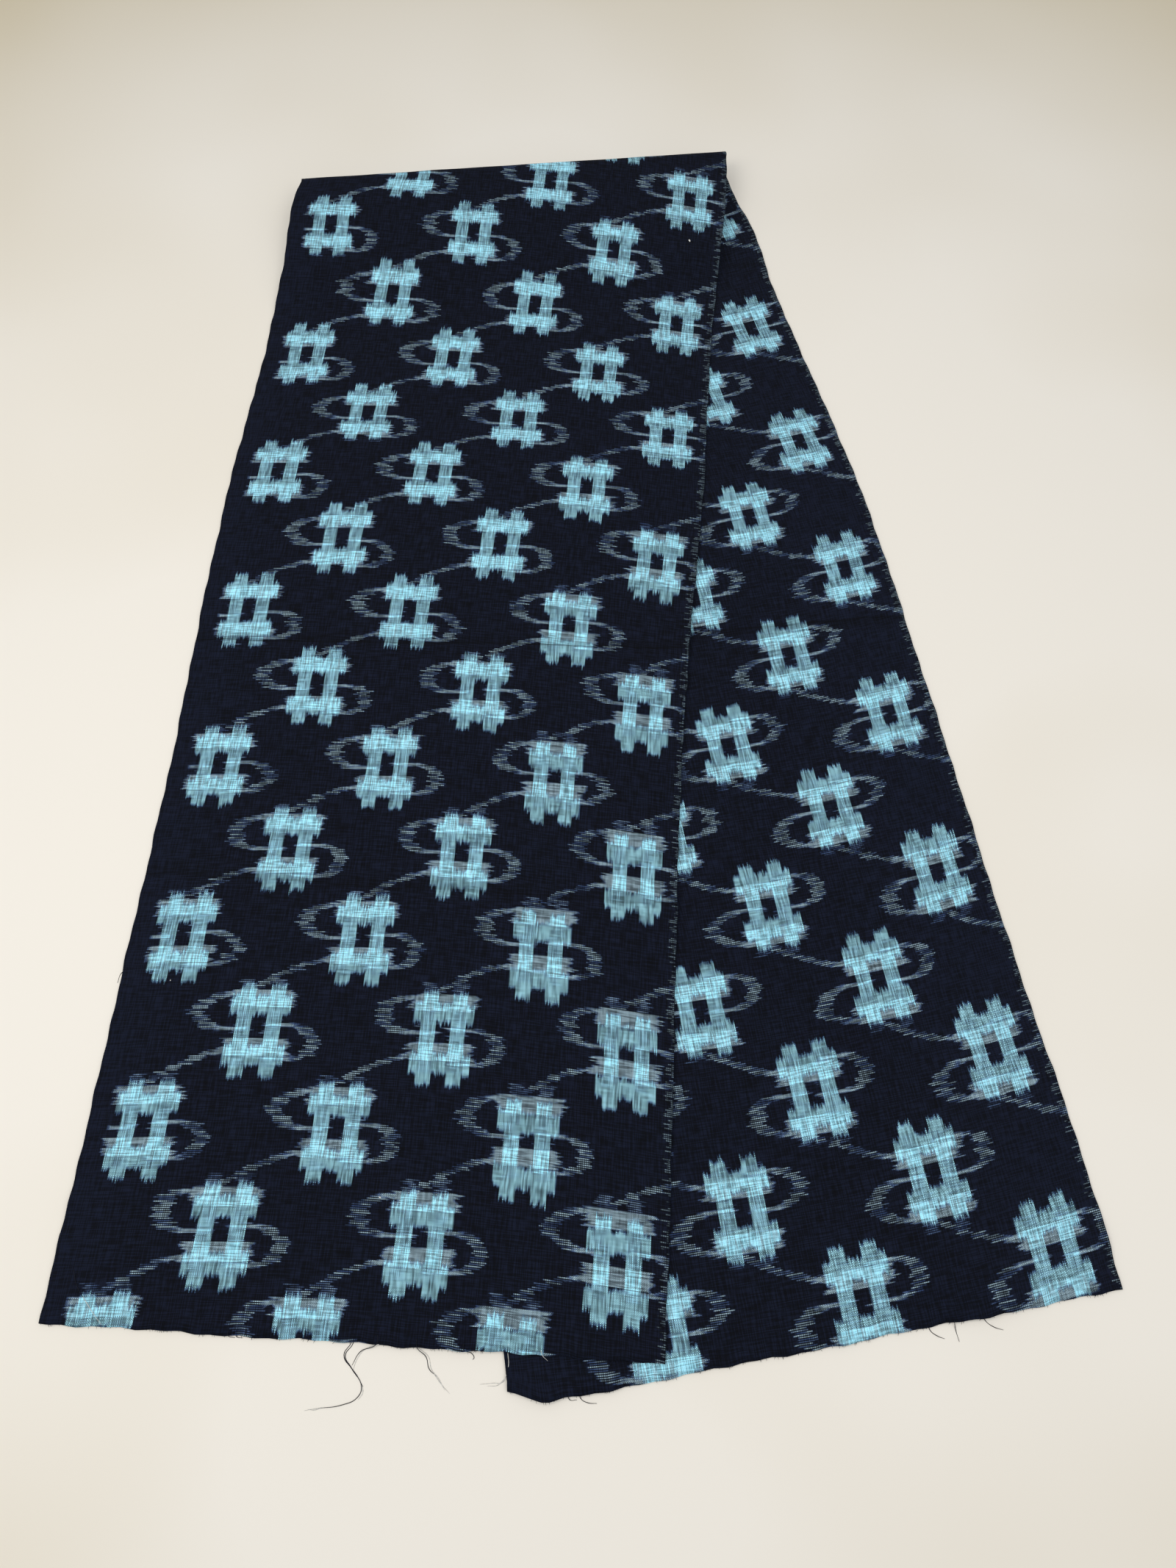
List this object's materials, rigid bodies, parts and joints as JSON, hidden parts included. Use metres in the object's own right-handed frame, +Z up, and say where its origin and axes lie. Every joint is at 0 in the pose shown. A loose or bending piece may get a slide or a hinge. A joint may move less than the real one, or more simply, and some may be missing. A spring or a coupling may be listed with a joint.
{
  "type": "folded length of double ikat cotton cloth",
  "caption": "Narrow length of cotton ikat cloth lying flat, folded once in a soft roll and fanned out, with two selvedges and raw cut ends.",
  "frame": {"origin": "on the surface that the cloth lies on, under the middle of its bounding box", "axes": "+Z up from the surface; +Y runs along the cloth from its cut ends to the fold; +X to the right, the way the lower layer fans out"},
  "size_m": [0.6348, 0.9635, 0.0213],
  "materials": {
    "ikat_cotton": "matt plain-woven cotton in dark indigo with pale blue resist-dyed motifs"
  },
  "bodies": {
    "root": {"cloth": "ikat_cotton"}
  },
  "joints": []
}
